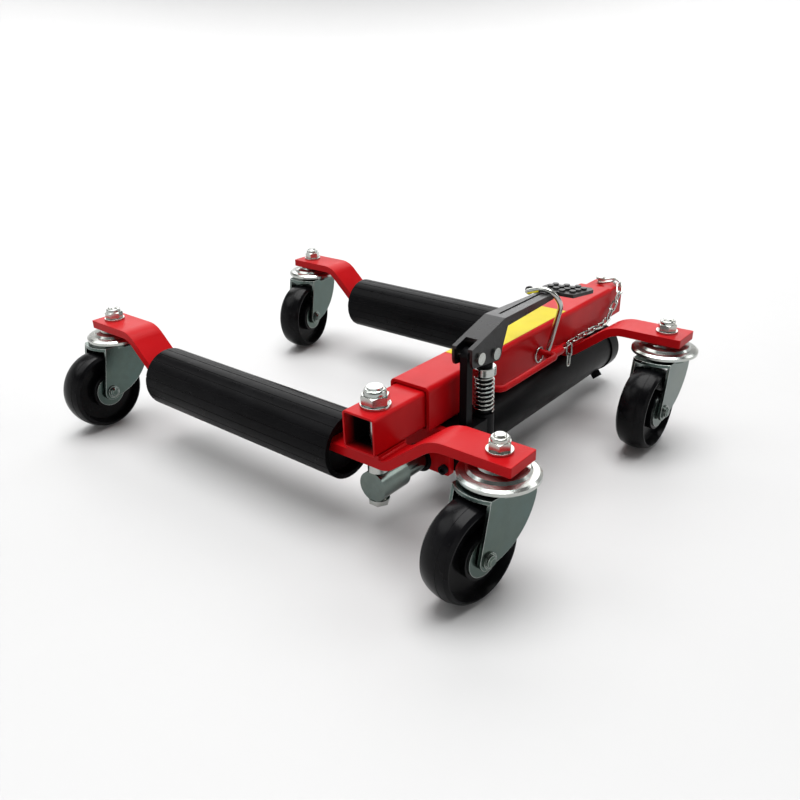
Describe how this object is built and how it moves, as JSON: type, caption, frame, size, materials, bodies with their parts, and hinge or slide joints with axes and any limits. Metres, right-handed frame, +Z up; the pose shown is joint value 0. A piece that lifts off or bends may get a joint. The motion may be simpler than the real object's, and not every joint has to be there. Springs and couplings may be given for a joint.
{
  "type": "vehicle positioning jack",
  "caption": "Low U-shaped wheel dolly on swivel casters: two ribbed rollers on bent arms are drawn together under a tyre by a foot-pumped hydraulic ram on a sliding square rail.",
  "frame": {"origin": "centre of the overall box, on the floor under the wheels", "axes": "+X along the arms towards the rail and the pedal pump, +Y along the rail away from the sliding arm, +Z up"},
  "size_m": [0.665, 0.5862, 0.2021],
  "materials": {
    "red_paint": "gloss",
    "black_paint": "satin",
    "zinc_plate": "satin",
    "bright_steel": "satin",
    "black_oxide": "satin",
    "roller_skin": "satin",
    "wheel_black": "gloss",
    "nylon": "matte",
    "pad_rubber": "matte",
    "yellow_label": "satin"
  },
  "bodies": {
    "frame": {"outer_rail": "red_paint", "end_stub": "red_paint", "lock_pin": "zinc_plate", "chain": "zinc_plate", "far_arm": "red_paint", "hook_boss": "red_paint", "handle": "red_paint", "label": "yellow_label", "barrel": "black_paint", "barrel_cap": "black_paint", "drain_plug": "black_paint", "gland": "black_paint", "front_plate": "red_paint", "plate_screws": "black_oxide", "pump_block": "black_paint", "fulcrum_pin": "zinc_plate", "spring": "zinc_plate", "far_roller_bushes": "nylon", "far_stems": "zinc_plate", "far_races": "zinc_plate", "far_washers": "zinc_plate", "far_nuts": "zinc_plate"},
    "slider": {"inner_rail": "red_paint", "near_arm": "red_paint", "arm_bolt": "zinc_plate", "arm_spacer": "zinc_plate", "arm_washer": "zinc_plate", "arm_nut": "zinc_plate", "piston_rod": "bright_steel", "near_roller_bushes": "nylon", "near_stems": "zinc_plate", "near_races": "zinc_plate", "near_washers": "zinc_plate", "near_nuts": "zinc_plate"},
    "near_roller_body": {"near_roller": "roller_skin"},
    "far_roller_body": {"far_roller": "roller_skin"},
    "pedal": {"lever": "black_paint", "pedal_pad": "pad_rubber"},
    "plunger_body": {"plunger": "black_oxide", "spring_collar": "zinc_plate", "link_pin": "zinc_plate"},
    "hook_body": {"hook": "zinc_plate"},
    "valve_body": {"release_valve": "zinc_plate"},
    "near_left_caster": {"near_left_fork": "zinc_plate", "near_left_axle": "zinc_plate"},
    "near_left_wheel_body": {"near_left_wheel": "wheel_black", "near_left_bushes": "zinc_plate"},
    "near_right_caster": {"near_right_fork": "zinc_plate", "near_right_axle": "zinc_plate"},
    "near_right_wheel_body": {"near_right_wheel": "wheel_black", "near_right_bushes": "zinc_plate"},
    "far_left_caster": {"far_left_fork": "zinc_plate", "far_left_axle": "zinc_plate"},
    "far_left_wheel_body": {"far_left_wheel": "wheel_black", "far_left_bushes": "zinc_plate"},
    "far_right_caster": {"far_right_fork": "zinc_plate", "far_right_axle": "zinc_plate"},
    "far_right_wheel_body": {"far_right_wheel": "wheel_black", "far_right_bushes": "zinc_plate"}
  },
  "joints": [
    {"name": "rail_slide", "type": "slide", "parent": "frame", "child": "slider", "axis": [0, -1, 0], "range_m": [-0.024, 0.2]},
    {"name": "near_roller_spin", "type": "hinge", "parent": "slider", "child": "near_roller_body", "pos_m": [-0.03575, -0.20686, 0.0807], "axis": [1, 0, 0], "continuous": true},
    {"name": "far_roller_spin", "type": "hinge", "parent": "frame", "child": "far_roller_body", "pos_m": [-0.03575, 0.15504, 0.0807], "axis": [1, 0, 0], "continuous": true},
    {"name": "pedal_hinge", "type": "hinge", "parent": "frame", "child": "pedal", "pos_m": [0.19575, -0.11036, 0.1668], "axis": [1, 0, 0], "range_deg": [0, 25]},
    {"name": "plunger_slide", "type": "slide", "parent": "frame", "child": "plunger_body", "axis": [0, 0, 1], "range_m": [0, 0.0126], "deforming": ["spring"]},
    {"name": "hook_hinge", "type": "hinge", "parent": "pedal", "child": "hook_body", "pos_m": [0.17275, 0.03571, 0.19197], "axis": [0, -1, 0], "range_deg": [0, 6]},
    {"name": "valve_turn", "type": "hinge", "parent": "frame", "child": "valve_body", "pos_m": [0.20525, -0.11686, 0.062], "axis": [1, 0, 0], "range_deg": [0, 180]},
    {"name": "near_left_swivel", "type": "hinge", "parent": "slider", "child": "near_left_caster", "pos_m": [-0.29455, -0.20686, 0.112], "axis": [0, 0, 1], "continuous": true},
    {"name": "near_left_wheel_spin", "type": "hinge", "parent": "near_left_caster", "child": "near_left_wheel_body", "pos_m": [-0.29265, -0.24316, 0.05], "axis": [0.9986, 0.0523, 0], "continuous": true},
    {"name": "near_right_swivel", "type": "hinge", "parent": "slider", "child": "near_right_caster", "pos_m": [0.29455, -0.20686, 0.112], "axis": [0, 0, 1], "continuous": true},
    {"name": "near_right_wheel_spin", "type": "hinge", "parent": "near_right_caster", "child": "near_right_wheel_body", "pos_m": [0.28949, -0.24286, 0.05], "axis": [0.9903, -0.1392, 0], "continuous": true},
    {"name": "far_left_swivel", "type": "hinge", "parent": "frame", "child": "far_left_caster", "pos_m": [-0.29455, 0.15504, 0.112], "axis": [0, 0, 1], "continuous": true},
    {"name": "far_left_wheel_spin", "type": "hinge", "parent": "far_left_caster", "child": "far_left_wheel_body", "pos_m": [-0.28637, 0.11962, 0.05], "axis": [0.9744, 0.225, 0], "continuous": true},
    {"name": "far_right_swivel", "type": "hinge", "parent": "frame", "child": "far_right_caster", "pos_m": [0.29455, 0.15504, 0.112], "axis": [0, 0, 1], "continuous": true},
    {"name": "far_right_wheel_spin", "type": "hinge", "parent": "far_right_caster", "child": "far_right_wheel_body", "pos_m": [0.29455, 0.11869, 0.05], "axis": [1, 0, 0], "continuous": true}
  ],
  "couplings": [
    {"joint": "plunger_slide", "follows": "pedal_hinge", "m_per_rad": 0.0287}
  ]
}
